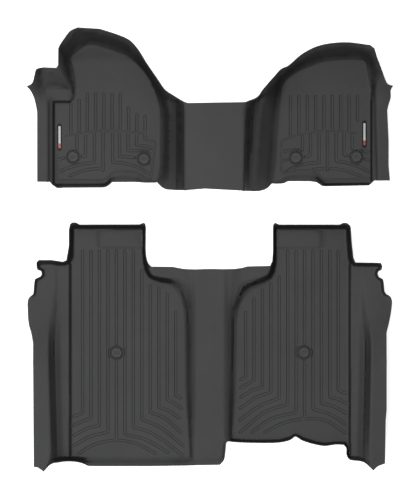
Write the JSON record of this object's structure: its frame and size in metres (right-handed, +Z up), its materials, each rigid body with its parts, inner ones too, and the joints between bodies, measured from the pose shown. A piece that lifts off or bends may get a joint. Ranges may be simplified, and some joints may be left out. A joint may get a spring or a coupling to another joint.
{
  "type": "floor mat set",
  "caption": "Moulded front and rear vehicle floor liners with raised edges, a tunnel hump, drainage ribs, quarter-turn hold-downs and small badges.",
  "frame": {"origin": "middle of the laid-out set's bounding box, at floor level", "axes": "+Y forward in the vehicle, +X to the vehicle's right, +Z up"},
  "size_m": [1.574, 1.904, 0.2275],
  "materials": {
    "liner": "fine pebble grain, satin",
    "grommet": "smooth satin",
    "turn_cap": "fine texture",
    "hold_down_base": "satin",
    "grip_tape": "hook pile",
    "badge_plate": "gloss",
    "badge_stripe": "gloss",
    "badge_accent": "gloss"
  },
  "bodies": {
    "front": {"front_liner": "liner", "driver_outer_hook_pad": "grip_tape", "driver_outer_base_post": "hold_down_base", "driver_outer_lower_ring": "grommet", "driver_outer_upper_ring": "grommet", "driver_inner_hook_pad": "grip_tape", "driver_inner_base_post": "hold_down_base", "driver_inner_lower_ring": "grommet", "driver_inner_upper_ring": "grommet", "passenger_inner_hook_pad": "grip_tape", "passenger_inner_base_post": "hold_down_base", "passenger_inner_lower_ring": "grommet", "passenger_inner_upper_ring": "grommet", "passenger_outer_hook_pad": "grip_tape", "passenger_outer_base_post": "hold_down_base", "passenger_outer_lower_ring": "grommet", "passenger_outer_upper_ring": "grommet", "driver_badge_plate": "badge_plate", "driver_badge_stripe": "badge_stripe", "driver_badge_accent": "badge_accent", "passenger_badge_plate": "badge_plate", "passenger_badge_stripe": "badge_stripe", "passenger_badge_accent": "badge_accent"},
    "rear": {"rear_liner": "liner", "rear_left_hook_pad": "grip_tape", "rear_left_base_post": "hold_down_base", "rear_left_lower_ring": "grommet", "rear_left_upper_ring": "grommet", "rear_right_hook_pad": "grip_tape", "rear_right_base_post": "hold_down_base", "rear_right_lower_ring": "grommet", "rear_right_upper_ring": "grommet"},
    "driver_outer_cap": {"driver_outer_turn_cap": "turn_cap"},
    "driver_inner_cap": {"driver_inner_turn_cap": "turn_cap"},
    "passenger_inner_cap": {"passenger_inner_turn_cap": "turn_cap"},
    "passenger_outer_cap": {"passenger_outer_turn_cap": "turn_cap"},
    "rear_left_cap": {"rear_left_turn_cap": "turn_cap"},
    "rear_right_cap": {"rear_right_turn_cap": "turn_cap"}
  },
  "joints": [
    {"name": "rear_liner_lift", "type": "slide", "parent": "front", "child": "rear", "axis": [0, 0, 1], "range_m": [0, 0.3]},
    {"name": "driver_outer_turn", "type": "hinge", "parent": "front", "child": "driver_outer_cap", "pos_m": [-0.589, 0.401, 0.009], "axis": [0, 0, 1], "range_deg": [0, 90]},
    {"name": "driver_inner_turn", "type": "hinge", "parent": "front", "child": "driver_inner_cap", "pos_m": [-0.284, 0.392, 0.009], "axis": [0, 0, 1], "range_deg": [0, 90]},
    {"name": "passenger_inner_turn", "type": "hinge", "parent": "front", "child": "passenger_inner_cap", "pos_m": [0.37, 0.397, 0.009], "axis": [0, 0, 1], "range_deg": [0, 90]},
    {"name": "passenger_outer_turn", "type": "hinge", "parent": "front", "child": "passenger_outer_cap", "pos_m": [0.63, 0.401, 0.009], "axis": [0, 0, 1], "range_deg": [0, 90]},
    {"name": "rear_left_turn", "type": "hinge", "parent": "rear", "child": "rear_left_cap", "pos_m": [-0.402, -0.442, 0.009], "axis": [0, 0, 1], "range_deg": [0, 90]},
    {"name": "rear_right_turn", "type": "hinge", "parent": "rear", "child": "rear_right_cap", "pos_m": [0.404, -0.44, 0.009], "axis": [0, 0, 1], "range_deg": [0, 90]}
  ]
}
